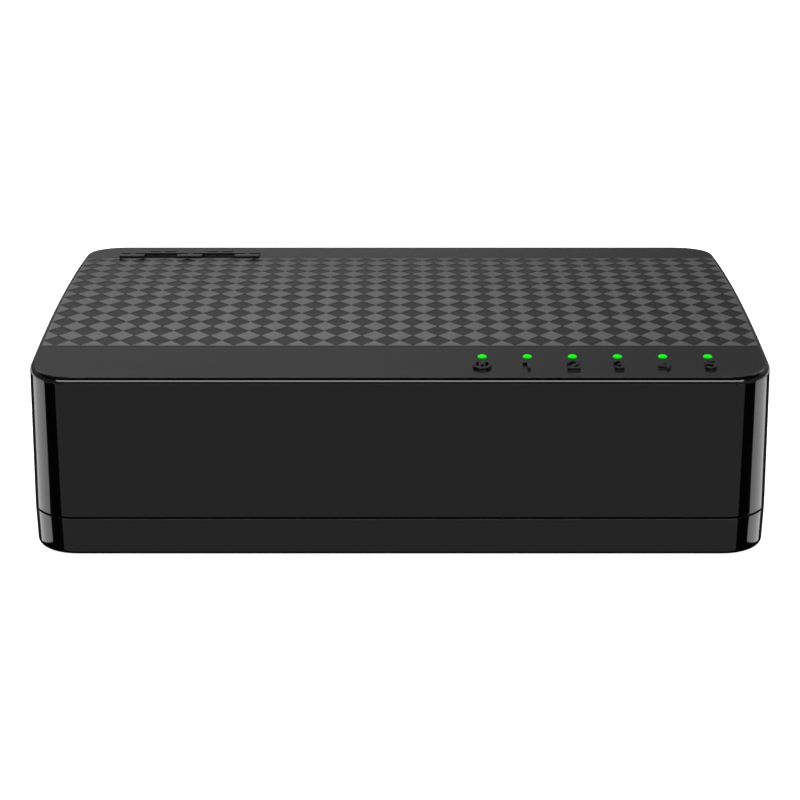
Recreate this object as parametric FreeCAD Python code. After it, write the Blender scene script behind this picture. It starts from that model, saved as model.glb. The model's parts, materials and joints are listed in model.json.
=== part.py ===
"""Five-port desktop network switch, as the separate pieces it comes apart into on a bench.

Frame, in millimetres: +Z is up, the front face looks along -Y, +X is to the right seen from the front.
The origin is the centre of the bounding box at the surface that the rubber feet stand on.
"""
import FreeCAD, Part
import math
import os

# ---- driving dimensions -------------------------------------------------------------------------
WIDTH = 83.2            # over the parting line, left to right
DEPTH = 52.8            # over the parting line, front to back
CORNER_R = 5.2          # plan radius of the four upright corners, at the seam
FOOT_PROUD = 0.8        # how far the rubber feet lift the case
PARTING_Z = 5.19        # seam between base shell and top cover
TOP_EDGE_Z = 21.7       # front and back edges of the top
CROWN_R = 229.8         # the top is arched from front to back
COVER_FLARE = 1.4       # degrees: the cover widens towards the seam
BASE_TAPER = 0.9        # degrees: the base narrows towards the table
WALL = 1.6              # moulded wall
TOP_FILLET = 0.7
BOTTOM_FILLET = 0.42
SEAM_GAP = 0.27         # height of the shadow line above the seam
SEAM_DEPTH = 0.5

# inside of the case
LIP_GAP = 0.1
LIP_THICKNESS = 0.8
LIP_TOP_Z = 6.4
BASE_WALL = WALL + LIP_GAP + LIP_THICKNESS
FLOOR_TOP_Z = FOOT_PROUD + 1.6
SNAP_R = 0.35
SNAP_LENGTH = 8.0
SNAP_Y = 12.0
SNAP_Z = 5.8

# circuit board
BOARD_BOTTOM_Z = 4.6
BOARD_THICKNESS = 1.2
BOARD_TOP_Z = BOARD_BOTTOM_Z + BOARD_THICKNESS
BOARD_HALF_X = 38.4
BOARD_HALF_Y = 23.2
BOARD_CORNER_R = 2.0

# row of network ports
PORT_COUNT = 5
PORT_PITCH = 13.0
HOUSING_RIGHT = 38.0
HOUSING_WIDTH = PORT_PITCH * PORT_COUNT + 1.1
HOUSING_LEFT = HOUSING_RIGHT - HOUSING_WIDTH
MOUTH_Y = 25.4
HOUSING_DEPTH = 15.0
HOUSING_HEIGHT = 13.2
HOUSING_TOP_Z = BOARD_TOP_Z + HOUSING_HEIGHT
SOCKET_WIDTH = 11.9
SOCKET_HEIGHT = 6.9
SOCKET_DEPTH = 12.5
SOCKET_FLOOR_Z = BOARD_TOP_Z + 3.8
SOCKET_CEILING_Z = SOCKET_FLOOR_Z + SOCKET_HEIGHT
LATCH_WIDE = 6.2
LATCH_NARROW = 3.8
LATCH_STEP_Z = SOCKET_FLOOR_Z - 1.6
LATCH_FLOOR_Z = SOCKET_FLOOR_Z - 2.7
LATCH_LEDGE = 1.4
LATCH_DEPTH = 9.0
WIRE_COUNT = 8
WIRE_PITCH = 1.02
WIRE_WIDTH = 0.42
WIRE_THICKNESS = 0.32
WIRE_SLOPE = 15.0       # degrees below level
WIRE_LENGTH = 9.2
WIRE_BEND_R = 0.41
WIRE_PIVOT_DEPTH = 2.2  # behind the mouth
WIRE_PIVOT_Z = SOCKET_CEILING_Z + 0.65
RECESS_HEIGHT = 1.7
RECESS_START = 1.4
RIB_WIDTH = 0.22
RIB_END = 4.2
POST_R = 1.55
POST_Y = 19.0
PIN_ROW_Y = (12.4, 14.9)
TAIL_SIZE = 0.46
TAIL_BOTTOM_Z = 3.4

# power jack
JACK_X = -33.3
JACK_WIDTH = 9.0
JACK_HEIGHT = 11.0
JACK_LENGTH = 14.2
JACK_FLANGE = 3.5
JACK_AXIS_Z = BOARD_TOP_Z + 6.5
JACK_BORE_R = 3.15
JACK_BORE_DEPTH = 9.5
JACK_PIN_R = 1.0
JACK_STEM = 1.2         # square bar that carries the pin through the back wall
JACK_SLOT_WIDTH = 2.8
JACK_SLOT_FLOOR_Z = BOARD_TOP_Z + 1.6
JACK_PIVOT_DEPTH = 11.6
JACK_PIVOT_Z = BOARD_TOP_Z + 2.3

# status lights
LIGHT_FIRST_X = 9.2
LIGHT_PITCH = 5.05
LIGHT_COUNT = 6
LIGHT_Y = -20.04
LIGHT_TIP_R = 0.5
LIGHT_HOLE_R = 0.57
LIGHT_PROUD = 0.2
LIGHT_DOME_R = 0.8
LIGHT_BAR_Z = (14.0, 15.8)
LIGHT_PEG_X = (LIGHT_FIRST_X + 0.5 * LIGHT_PITCH, LIGHT_FIRST_X + 4.5 * LIGHT_PITCH)
LIGHT_PEG_R = 0.8

# switch chip and its cooling
SWITCH_CHIP_AT = (-4.0, -8.0)
CHIP_SIZE = 10.0
CHIP_HEIGHT = 0.9
PAD_HEIGHT = 0.5
SINK_SIZE = 14.0
SINK_HEIGHT = 6.0
FIN_COUNT = 7

# raised marks
MARK_RISE = 0.3
GLYPH_Y = -22.7
GLYPH_HEIGHT = 2.1
GLYPH_WIDTH = 1.44
GLYPH_STROKE = 0.34
POWER_R = 0.9
REAR_MARK_RISE = 0.2
REAR_MARK_SCALE = 0.7
BUS_X = (-36.4, -18.3)
BUS_Y = 19.9
BUS_RISE = 0.36
BUS_STROKE = 0.6
BUS_STEM = 0.85
BUS_BOX = (3.2, 1.3)

# fasteners and underside
CASE_SCREW_X = 35.2
CASE_SCREW_Y = -8.0
BOSS_R = 3.0
BOARD_SCREWS = ((-33.0, -19.0), (-2.0, -20.5))
FOOT_X = 33.0
FOOT_Y = 18.3
FOOT_R = 4.2
FOOT_RECESS = 0.6
KEYHOLE_X = 27.0
KEYHOLE_Y = -2.5
KEYHOLE_R = 3.4
KEYHOLE_SLOT_R = 1.8
KEYHOLE_SLOT = 5.6
VENT_COUNT = 11
VENT_PITCH = 3.6
VENT_WIDTH = 1.6
VENT_LENGTH = 11.0
VENT_Y = 10.0
LABEL_SIZE = (38.0, 16.0)
LABEL_Y = -10.5
LABEL_RECESS = 0.25

HALF_X = WIDTH / 2
HALF_Y = DEPTH / 2
TOP_HALF_Y = HALF_Y - math.tan(math.radians(COVER_FLARE)) * (TOP_EDGE_Z - PARTING_Z)
CROWN_CENTRE_Z = TOP_EDGE_Z - math.sqrt(CROWN_R ** 2 - TOP_HALF_Y ** 2)
APEX_Z = CROWN_CENTRE_Z + CROWN_R
X_AXIS = FreeCAD.Vector(1, 0, 0)
Y_AXIS = FreeCAD.Vector(0, 1, 0)
Z_AXIS = FreeCAD.Vector(0, 0, 1)


# ---- small shape helpers ------------------------------------------------------------------------
def point(x, y, z):
    return FreeCAD.Vector(x, y, z)


def block(x, y, z):
    """A box between three (low, high) pairs."""
    return Part.makeBox(x[1] - x[0], y[1] - y[0], z[1] - z[0], point(x[0], y[0], z[0]))


def centred_block(cx, cy, size_x, size_y, z):
    return block((cx - size_x / 2, cx + size_x / 2), (cy - size_y / 2, cy + size_y / 2), z)


def upright(x, y, radius, z):
    """A vertical cylinder between z[0] and z[1]."""
    return Part.makeCylinder(radius, z[1] - z[0], point(x, y, z[0]), Z_AXIS)


def fuse(solids):
    """One clean solid from touching solids."""
    joined = solids[0].multiFuse(solids[1:]) if len(solids) > 1 else solids[0]
    return joined.removeSplitter()


def cut(shape, tools):
    return shape.cut(Part.Compound(tools)) if tools else shape


def outline(half_x, half_y, radius, z):
    """A rectangle with rounded corners, level at height z."""
    in_x = half_x - radius
    in_y = half_y - radius
    corners = ((1, -1, -90), (1, 1, 0), (-1, 1, 90), (-1, -1, 180))
    arcs = []
    for sx, sy, start in corners:
        middle = point(sx * in_x, sy * in_y, z)
        ring = Part.Circle(middle, Z_AXIS, radius)
        arcs.append(Part.Arc(ring, math.radians(start), math.radians(start + 90)).toShape())
    wire = []
    for index, arc in enumerate(arcs):
        following = arcs[(index + 1) % 4]
        wire.append(arc)
        wire.append(Part.LineSegment(arc.Vertexes[-1].Point, following.Vertexes[0].Point).toShape())
    return Part.Wire(wire)


def plate(half_x, half_y, radius, z):
    """A level plate with rounded corners between z[0] and z[1]."""
    face = Part.Face(outline(half_x, half_y, radius, z[0]))
    return face.extrude(point(0, 0, z[1] - z[0]))


def drafted(half_x, half_y, radius, z, degrees):
    """A block whose sides lean inwards by so many degrees from z[0] to z[1], with conical corners."""
    lean = math.tan(math.radians(degrees)) * (z[1] - z[0])
    in_x = half_x - radius
    in_y = half_y - radius
    along_x = [
        point(-in_x, -half_y, z[0]), point(-in_x, half_y, z[0]),
        point(-in_x, half_y - lean, z[1]), point(-in_x, lean - half_y, z[1]),
    ]
    along_y = [
        point(-half_x, -in_y, z[0]), point(half_x, -in_y, z[0]),
        point(half_x - lean, -in_y, z[1]), point(lean - half_x, -in_y, z[1]),
    ]
    pieces = [Part.Face(Part.makePolygon(along_x + along_x[:1])).extrude(point(2 * in_x, 0, 0))]
    pieces.append(Part.Face(Part.makePolygon(along_y + along_y[:1])).extrude(point(0, 2 * in_y, 0)))
    for side_x in (-1, 1):
        for side_y in (-1, 1):
            corner = point(side_x * in_x, side_y * in_y, z[0])
            pieces.append(Part.makeCone(radius, radius - lean, z[1] - z[0], corner, Z_AXIS))
    return fuse(pieces)


def crown(offset):
    """The long cylinder whose upper side is the arch of the top, moved outwards by offset."""
    start = point(-WIDTH, 0, CROWN_CENTRE_Z)
    return Part.makeCylinder(CROWN_R + offset, 2 * WIDTH, start, X_AXIS)


def crown_z(y):
    return CROWN_CENTRE_Z + math.sqrt(CROWN_R ** 2 - y ** 2)


def stadium(x, y, radius, length, z):
    """A slot shape from (x, y) to (x, y + length), round at both ends."""
    ends = [upright(x, y, radius, z), upright(x, y + length, radius, z)]
    return fuse(ends + [block((x - radius, x + radius), (y, y + length), z)])


def strip(points, thickness, x):
    """A flat strip of even thickness along a path in the Y-Z plane, between x[0] and x[1]."""
    pieces = []
    for start, end in zip(points, points[1:]):
        run = math.hypot(end[0] - start[0], end[1] - start[1])
        side_y = -(end[1] - start[1]) / run * thickness / 2
        side_z = (end[0] - start[0]) / run * thickness / 2
        ring = [
            point(x[0], start[0] + side_y, start[1] + side_z),
            point(x[0], end[0] + side_y, end[1] + side_z),
            point(x[0], end[0] - side_y, end[1] - side_z),
            point(x[0], start[0] - side_y, start[1] - side_z),
        ]
        face = Part.Face(Part.makePolygon(ring + [ring[0]]))
        pieces.append(face.extrude(point(x[1] - x[0], 0, 0)))
    for bend in points[1:-1]:
        centre = point(x[0], bend[0], bend[1])
        pieces.append(Part.makeCylinder(thickness / 2, x[1] - x[0], centre, X_AXIS))
    return fuse(pieces)


def bent_strip(centre, radius, first, last, thickness, x):
    """A strip bent about an X axis at centre, from one angle to another: 0 is +Y and 90 is +Z."""
    def at(distance, degrees):
        turn = math.radians(degrees)
        return point(x[0], centre[0] + distance * math.cos(turn), centre[1] + distance * math.sin(turn))

    middle = (first + last) / 2
    outer = radius + thickness / 2
    inner = radius - thickness / 2
    edges = [
        Part.Arc(at(outer, first), at(outer, middle), at(outer, last)).toShape(),
        Part.LineSegment(at(outer, last), at(inner, last)).toShape(),
        Part.Arc(at(inner, last), at(inner, middle), at(inner, first)).toShape(),
        Part.LineSegment(at(inner, first), at(outer, first)).toShape(),
    ]
    return Part.Face(Part.Wire(edges)).extrude(point(x[1] - x[0], 0, 0))


def outer_edges_at(shape, z):
    """The edges of a level face's outline at height z."""
    for face in shape.Faces:
        box = face.BoundBox
        if abs(box.ZMin - z) < 1e-4 and abs(box.ZMax - z) < 1e-4:
            return face.OuterWire.Edges
    raise ValueError("no level face at that height")


# ---- raised marks: strokes in a (right, up) plane ----------------------------------------------
def bar_stroke(start, end, width, height):
    """A straight stroke with round ends."""
    run = math.hypot(end[0] - start[0], end[1] - start[1])
    side = ((start[1] - end[1]) / run * width / 2, (end[0] - start[0]) / run * width / 2)
    ring = [
        point(start[0] + side[0], start[1] + side[1], 0),
        point(end[0] + side[0], end[1] + side[1], 0),
        point(end[0] - side[0], end[1] - side[1], 0),
        point(start[0] - side[0], start[1] - side[1], 0),
    ]
    body = Part.Face(Part.makePolygon(ring + [ring[0]])).extrude(point(0, 0, height))
    caps = [Part.makeCylinder(width / 2, height, point(p[0], p[1], 0)) for p in (start, end)]
    return [body] + caps


def arc_stroke(centre, radius, first, last, width, height):
    """A curved stroke from one angle to another, in degrees, with round ends."""
    middle = point(centre[0], centre[1], 0)
    ring = Part.makeCylinder(radius + width / 2, height, middle, Z_AXIS, last - first)
    ring = ring.cut(Part.makeCylinder(radius - width / 2, height, middle))
    ring.rotate(middle, Z_AXIS, first)
    caps = []
    for angle in (first, last):
        turn = math.radians(angle)
        tip = point(centre[0] + radius * math.cos(turn), centre[1] + radius * math.sin(turn), 0)
        caps.append(Part.makeCylinder(width / 2, height, tip))
    return [ring] + caps


def numeral(digit, height):
    """The strokes of a digit from 1 to 5, centred on the origin."""
    w = GLYPH_WIDTH / 2 - GLYPH_STROKE / 2
    h = GLYPH_HEIGHT / 2 - GLYPH_STROKE / 2
    s = GLYPH_STROKE
    if digit == 1:
        strokes = bar_stroke((0.1, -h), (0.1, h), s, height)
        strokes += bar_stroke((0.1, h), (-0.36, h - 0.4), s, height)
    elif digit == 2:
        bowl = 0.5
        strokes = arc_stroke((0, h - bowl), bowl, -25, 170, s, height)
        turn = math.radians(-25)
        knee = (bowl * math.cos(turn), h - bowl + bowl * math.sin(turn))
        strokes += bar_stroke(knee, (-w, -h), s, height)
        strokes += bar_stroke((-w, -h), (w, -h), s, height)
    elif digit == 3:
        bowl = h / 2
        strokes = arc_stroke((0, h - bowl), bowl, -90, 150, s, height)
        strokes += arc_stroke((0, -h + bowl), bowl, -150, 90, s, height)
    elif digit == 4:
        strokes = bar_stroke((0.3, -h), (0.3, h), s, height)
        strokes += bar_stroke((0.3, h), (-w, -0.35), s, height)
        strokes += bar_stroke((-w, -0.35), (w, -0.35), s, height)
    else:
        bowl = 0.52
        strokes = bar_stroke((-0.42, h), (0.46, h), s, height)
        strokes += bar_stroke((-0.42, h), (-0.42, 0.12), s, height)
        strokes += bar_stroke((-0.42, 0.12), (0, -h + 2 * bowl), s, height)
        strokes += arc_stroke((0, -h + bowl), bowl, -150, 90, s, height)
    return fuse(strokes)


def power_symbol(height):
    """A ring with a gap at the back and an upright stroke in the gap."""
    ring = arc_stroke((0, -0.05), POWER_R, 125, 415, GLYPH_STROKE, height)
    return [fuse(ring), fuse(bar_stroke((0, 0.1), (0, POWER_R), GLYPH_STROKE, height))]


def bus_symbol(height):
    """Five boxes joined to one line: the usual sign for a wired network, as moulded on the top."""
    half = (BUS_X[1] - BUS_X[0]) / 2
    pieces = [block((-half, half), (-BUS_STROKE / 2, BUS_STROKE / 2), (0, height))]
    step = (2 * half - BUS_BOX[0]) / (PORT_COUNT - 1)
    for index in range(PORT_COUNT):
        x = -half + BUS_BOX[0] / 2 + index * step
        way = -1 if index % 2 == 0 else 1
        stem = sorted((0, way * BUS_STEM))
        box = sorted((way * BUS_STEM, way * (BUS_STEM + BUS_BOX[1])))
        pieces.append(block((x - BUS_STROKE / 2, x + BUS_STROKE / 2), stem, (0, height)))
        pieces.append(block((x - BUS_BOX[0] / 2, x + BUS_BOX[0] / 2), box, (0, height)))
    return fuse(pieces)


def light_x(index):
    return LIGHT_FIRST_X + index * LIGHT_PITCH


def port_x(index):
    """Ports are numbered 1 to 5 from left to right as seen from behind, so port 1 is at +X."""
    return HOUSING_RIGHT - (HOUSING_WIDTH - PORT_PITCH * (PORT_COUNT - 1)) / 2 - index * PORT_PITCH


def top_marks():
    """Raised marks of the top, each with its upper side parallel to the arch."""
    depth = 3.0
    raised = []
    for index in range(LIGHT_COUNT):
        pieces = power_symbol(depth) if index == 0 else [numeral(index, depth)]
        for piece in pieces:
            piece.translate(point(light_x(index) - 0.1, GLYPH_Y, crown_z(GLYPH_Y) - 1))
            raised.append(piece)
    bus = bus_symbol(depth)
    bus.translate(point(sum(BUS_X) / 2, BUS_Y, crown_z(BUS_Y) - 1))
    return [piece.common(crown(MARK_RISE)) for piece in raised] + [bus.common(crown(BUS_RISE))]


def rear_marks():
    """Small raised port numbers on the rear wall, above the sockets, read from behind."""
    z = (HOUSING_TOP_Z + TOP_EDGE_Z) / 2 + 0.05
    lean = math.tan(math.radians(COVER_FLARE)) * (z - PARTING_Z)
    marks = []
    for index in range(PORT_COUNT):
        mark = numeral(index + 1, 1.0 / REAR_MARK_SCALE)
        mark.scale(REAR_MARK_SCALE)
        mark.rotate(point(0, 0, 0), X_AXIS, 90)
        mark.rotate(point(0, 0, 0), Z_AXIS, 180)
        mark.translate(point(port_x(index), HALF_Y - lean + REAR_MARK_RISE - 1.0, z))
        marks.append(mark)
    return marks


# ---- case ---------------------------------------------------------------------------------------
def cover_skin():
    """The outer form of the top cover, solid, with its edges rounded and a shadow line at the seam."""
    form = drafted(HALF_X, HALF_Y, CORNER_R, (PARTING_Z, APEX_Z + 1), COVER_FLARE)
    form = form.common(crown(0))
    arch = [f for f in form.Faces if f.Surface.TypeId == "Part::GeomCylinder" and f.Surface.Radius > 50]
    form = form.makeFillet(TOP_FILLET, arch[0].OuterWire.Edges)
    z = (PARTING_Z, PARTING_Z + SEAM_GAP)
    groove = plate(HALF_X + 1, HALF_Y + 1, CORNER_R + 1, z)
    groove = groove.cut(plate(HALF_X - SEAM_DEPTH, HALF_Y - SEAM_DEPTH, CORNER_R - SEAM_DEPTH, z))
    return form.cut(groove)


def cover_hollow():
    inside = drafted(HALF_X - WALL, HALF_Y - WALL, CORNER_R - WALL, (PARTING_Z, APEX_Z + 1), COVER_FLARE)
    return inside.common(crown(-WALL))


def boss_with_web(side):
    """A screw boss hanging from the ceiling, tied to the side wall by a web."""
    x = side * CASE_SCREW_X
    boss = upright(x, CASE_SCREW_Y, BOSS_R, (BOARD_TOP_Z, APEX_Z))
    reach = sorted((x, side * HALF_X))
    web = block(reach, (CASE_SCREW_Y - 0.6, CASE_SCREW_Y + 0.6), (LIP_TOP_Z + 1.0, APEX_Z))
    return [boss, web]


def top_cover():
    """Deep upper shell with its bosses, pegs, ribs, openings and raised marks."""
    hollow = cover_hollow()
    inner = []
    for side in (-1, 1):
        inner += boss_with_web(side)
    for x in LIGHT_PEG_X:
        inner.append(upright(x, LIGHT_Y, LIGHT_PEG_R, (LIGHT_BAR_Z[0] - 0.6, APEX_Z)))
        inner.append(upright(x, LIGHT_Y, LIGHT_PEG_R + 0.7, (LIGHT_BAR_Z[1], APEX_Z)))
    for index in range(3):
        x = (HOUSING_LEFT + HOUSING_RIGHT) / 2 + (index - 1) * 2 * PORT_PITCH
        inner.append(block((x - 0.6, x + 0.6), (12.0, 23.0), (HOUSING_TOP_Z, APEX_Z)))
    inner = [piece.common(hollow) for piece in inner]
    shell = cut(cover_skin(), [hollow])
    shell = fuse([shell] + inner)
    holes = [upright(s * CASE_SCREW_X, CASE_SCREW_Y, 1.3, (BOARD_TOP_Z - 1, 14.0)) for s in (-1, 1)]
    holes += [upright(light_x(i), LIGHT_Y, LIGHT_HOLE_R, (18, APEX_Z + 1)) for i in range(LIGHT_COUNT)]
    holes.append(block((HOUSING_LEFT - 0.35, HOUSING_RIGHT + 0.2), (20, 30), (PARTING_Z - 1, HOUSING_TOP_Z + 0.2)))
    jack_top = BOARD_TOP_Z + JACK_HEIGHT + 0.2
    holes.append(block((-38.2, HOUSING_LEFT), (20, 30), (PARTING_Z - 1, jack_top)))
    for side in (-1, 1):
        start = point(side * (HALF_X - WALL - LIP_GAP), SNAP_Y - SNAP_LENGTH / 2 - 0.2, SNAP_Z)
        holes.append(Part.makeCylinder(SNAP_R + 0.1, SNAP_LENGTH + 0.4, start, Y_AXIS))
    shell = cut(shell, holes)
    return fuse([shell] + top_marks() + rear_marks())


def keyhole(x, z, grow=0.0):
    round_part = upright(x, KEYHOLE_Y, KEYHOLE_R + grow, z)
    slot = stadium(x, KEYHOLE_Y, KEYHOLE_SLOT_R + grow, KEYHOLE_SLOT, z)
    return fuse([round_part, slot])


def base_form():
    """The outer form of the base tray: narrow at the table, full size at the seam."""
    form = drafted(HALF_X, HALF_Y, CORNER_R, (0, PARTING_Z - FOOT_PROUD), BASE_TAPER)
    form.rotate(point(0, 0, 0), X_AXIS, 180)
    form.translate(point(0, 0, PARTING_Z))
    return form.makeFillet(BOTTOM_FILLET, outer_edges_at(form, FOOT_PROUD))


def base_lip():
    """The upstanding rim that the cover slides over, open behind where the sockets are."""
    out_x = HALF_X - WALL - LIP_GAP
    out_y = HALF_Y - WALL - LIP_GAP
    radius = CORNER_R - WALL - LIP_GAP
    z = (FLOOR_TOP_Z, LIP_TOP_Z)
    rim = plate(out_x, out_y, radius, z)
    rim = rim.cut(plate(out_x - LIP_THICKNESS, out_y - LIP_THICKNESS, radius - LIP_THICKNESS, z))
    gap = block((-38.3, 38.3), (15, 30), (PARTING_Z, LIP_TOP_Z + 1))
    pieces = [rim.cut(gap)]
    for side in (-1, 1):
        start = point(side * out_x, SNAP_Y - SNAP_LENGTH / 2, SNAP_Z)
        ridge = Part.makeCylinder(SNAP_R, SNAP_LENGTH, start, Y_AXIS)
        pieces.append(ridge)
    return fuse(pieces)


def base_posts():
    """Everything that stands on the floor: screw posts, keyhole shrouds and board rests."""
    z = (FLOOR_TOP_Z - 0.2, BOARD_BOTTOM_Z)
    posts = [upright(s * CASE_SCREW_X, CASE_SCREW_Y, 3.4, z) for s in (-1, 1)]
    posts += [upright(x, y, 2.2, z) for x, y in BOARD_SCREWS]
    for side in (-1, 1):
        x = side * KEYHOLE_X
        posts.append(keyhole(x, z, grow=0.9).cut(keyhole(x, (z[0], z[1] + 1))))
    for x in (-22.0, 8.0, 36.0):
        posts.append(block((x - 1.5, x + 1.5), (21.6, HALF_Y - BASE_WALL + 0.2), z))
    return posts


def base_shell():
    """Shallow lower tray with feet recesses, vents, keyholes and a label recess."""
    form = base_form()
    in_x = HALF_X - BASE_WALL
    in_y = HALF_Y - BASE_WALL
    cavity = plate(in_x, in_y, CORNER_R - BASE_WALL, (FLOOR_TOP_Z, PARTING_Z + 1))
    tongue_top = BOARD_TOP_Z - 0.1
    tongue = block((-38.0, 38.0), (in_y, HALF_Y - 0.08), (PARTING_Z - 0.5, tongue_top))
    shell = fuse([form.cut(cavity), base_lip(), tongue] + base_posts())
    below = FOOT_PROUD - 1
    holes = []
    for side_x in (-1, 1):
        for side_y in (-1, 1):
            z = (below, FOOT_PROUD + FOOT_RECESS)
            holes.append(upright(side_x * FOOT_X, side_y * FOOT_Y, FOOT_R + 0.15, z))
        x = side_x * CASE_SCREW_X
        holes.append(upright(x, CASE_SCREW_Y, 1.6, (below, BOARD_BOTTOM_Z + 1)))
        holes.append(upright(x, CASE_SCREW_Y, 2.9, (below, FOOT_PROUD + 1.8)))
        holes.append(keyhole(side_x * KEYHOLE_X, (below, FLOOR_TOP_Z + 1)))
    for index in range(VENT_COUNT):
        x = (index - (VENT_COUNT - 1) / 2) * VENT_PITCH
        start = VENT_Y - VENT_LENGTH / 2 + VENT_WIDTH / 2
        holes.append(stadium(x, start, VENT_WIDTH / 2, VENT_LENGTH - VENT_WIDTH, (below, FLOOR_TOP_Z + 1)))
    for x, y in BOARD_SCREWS:
        holes.append(upright(x, y, 0.95, (FOOT_PROUD + 0.8, BOARD_BOTTOM_Z + 1)))
    recess = plate(LABEL_SIZE[0] / 2 + 0.3, LABEL_SIZE[1] / 2 + 0.3, 1.8, (below, FOOT_PROUD + LABEL_RECESS))
    recess.translate(point(0, LABEL_Y, 0))
    holes.append(recess)
    return cut(shell, holes)


def rubber_foot(side_x, side_y):
    foot = upright(side_x * FOOT_X, side_y * FOOT_Y, FOOT_R, (0, FOOT_PROUD + FOOT_RECESS))
    return foot.makeFillet(0.35, outer_edges_at(foot, 0))


def underside_label():
    size_x, size_y = LABEL_SIZE
    label = plate(size_x / 2, size_y / 2, 1.5, (FOOT_PROUD + LABEL_RECESS - 0.15, FOOT_PROUD + LABEL_RECESS))
    label.translate(point(0, LABEL_Y, 0))
    return label


def case_screws():
    """Two long screws from below, through the board and into the bosses of the cover."""
    screws = []
    for side in (-1, 1):
        x = side * CASE_SCREW_X
        seat = FOOT_PROUD + 1.8
        head = upright(x, CASE_SCREW_Y, 2.7, (seat - 1.6, seat))
        head = head.makeFillet(0.5, outer_edges_at(head, seat - 1.6))
        drive = [centred_block(x, CASE_SCREW_Y, 0.6, 2.7, (seat - 2, seat - 0.7))]
        drive.append(centred_block(x, CASE_SCREW_Y, 2.7, 0.6, (seat - 2, seat - 0.7)))
        shank = upright(x, CASE_SCREW_Y, 1.25, (seat, 12.5))
        screws.append(fuse([cut(head, drive), shank]))
    return Part.Compound(screws)


def board_screws():
    """Two short screws that hold the board to the base."""
    screws = []
    for x, y in BOARD_SCREWS:
        head = upright(x, y, 1.9, (BOARD_TOP_Z, BOARD_TOP_Z + 1.3))
        head = head.makeFillet(0.4, outer_edges_at(head, BOARD_TOP_Z + 1.3))
        drive = [centred_block(x, y, 0.5, 2.0, (BOARD_TOP_Z + 0.6, BOARD_TOP_Z + 2))]
        drive.append(centred_block(x, y, 2.0, 0.5, (BOARD_TOP_Z + 0.6, BOARD_TOP_Z + 2)))
        shank = upright(x, y, 0.9, (FOOT_PROUD + 1.2, BOARD_TOP_Z))
        screws.append(fuse([cut(head, drive), shank]))
    return Part.Compound(screws)


# ---- circuit board and what stands on it --------------------------------------------------------
def tail_positions():
    """Where the solder tails of the port housing go through the board."""
    places = []
    for port in range(PORT_COUNT):
        for wire in range(WIRE_COUNT):
            x = port_x(port) + (wire - (WIRE_COUNT - 1) / 2) * WIRE_PITCH
            places.append((x, PIN_ROW_Y[wire % 2]))
    return places


def post_positions():
    middle = (HOUSING_LEFT + HOUSING_RIGHT) / 2
    return [(middle + way * 2 * PORT_PITCH, POST_Y) for way in (-1, 0, 1)]


def jack_tails(grow):
    """The three flat solder tails of the power jack, or with grow the slots they need."""
    low = TAIL_BOTTOM_Z - grow
    back_y = MOUTH_Y - JACK_LENGTH
    pin_tail = block(
        (JACK_X - 1.5 - grow, JACK_X + 1.5 + grow), (back_y - 0.6 - grow, back_y - 0.1 + grow),
        (low, JACK_AXIS_Z + 1.5))
    root_y = MOUTH_Y - JACK_PIVOT_DEPTH
    spring_tail = block(
        (JACK_X - 1.2 - grow, JACK_X + 1.2 + grow), (root_y - 0.25 - grow, root_y + 0.25 + grow),
        (low, JACK_SLOT_FLOOR_Z + 0.1))
    side_x = JACK_X + JACK_WIDTH / 2 - 0.9
    switch_tail = block(
        (side_x - 0.25 - grow, side_x + 0.25 + grow), (root_y + 2.0 - grow, root_y + 4.5 + grow),
        (low, BOARD_TOP_Z + 3.0))
    return [pin_tail, spring_tail, switch_tail]


def circuit_board():
    z = (BOARD_BOTTOM_Z, BOARD_TOP_Z)
    through = (BOARD_BOTTOM_Z - 1, BOARD_TOP_Z + 1)
    board = plate(BOARD_HALF_X, BOARD_HALF_Y, BOARD_CORNER_R, z)
    holes = [upright(s * CASE_SCREW_X, CASE_SCREW_Y, 1.7, through) for s in (-1, 1)]
    holes += [upright(x, y, 1.1, through) for x, y in BOARD_SCREWS]
    holes += [upright(x, y, POST_R + 0.1, through) for x, y in post_positions()]
    holes += [upright(x, y, TAIL_SIZE / 2 + 0.2, through) for x, y in tail_positions()]
    return cut(board, holes + jack_tails(0.1))


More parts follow.
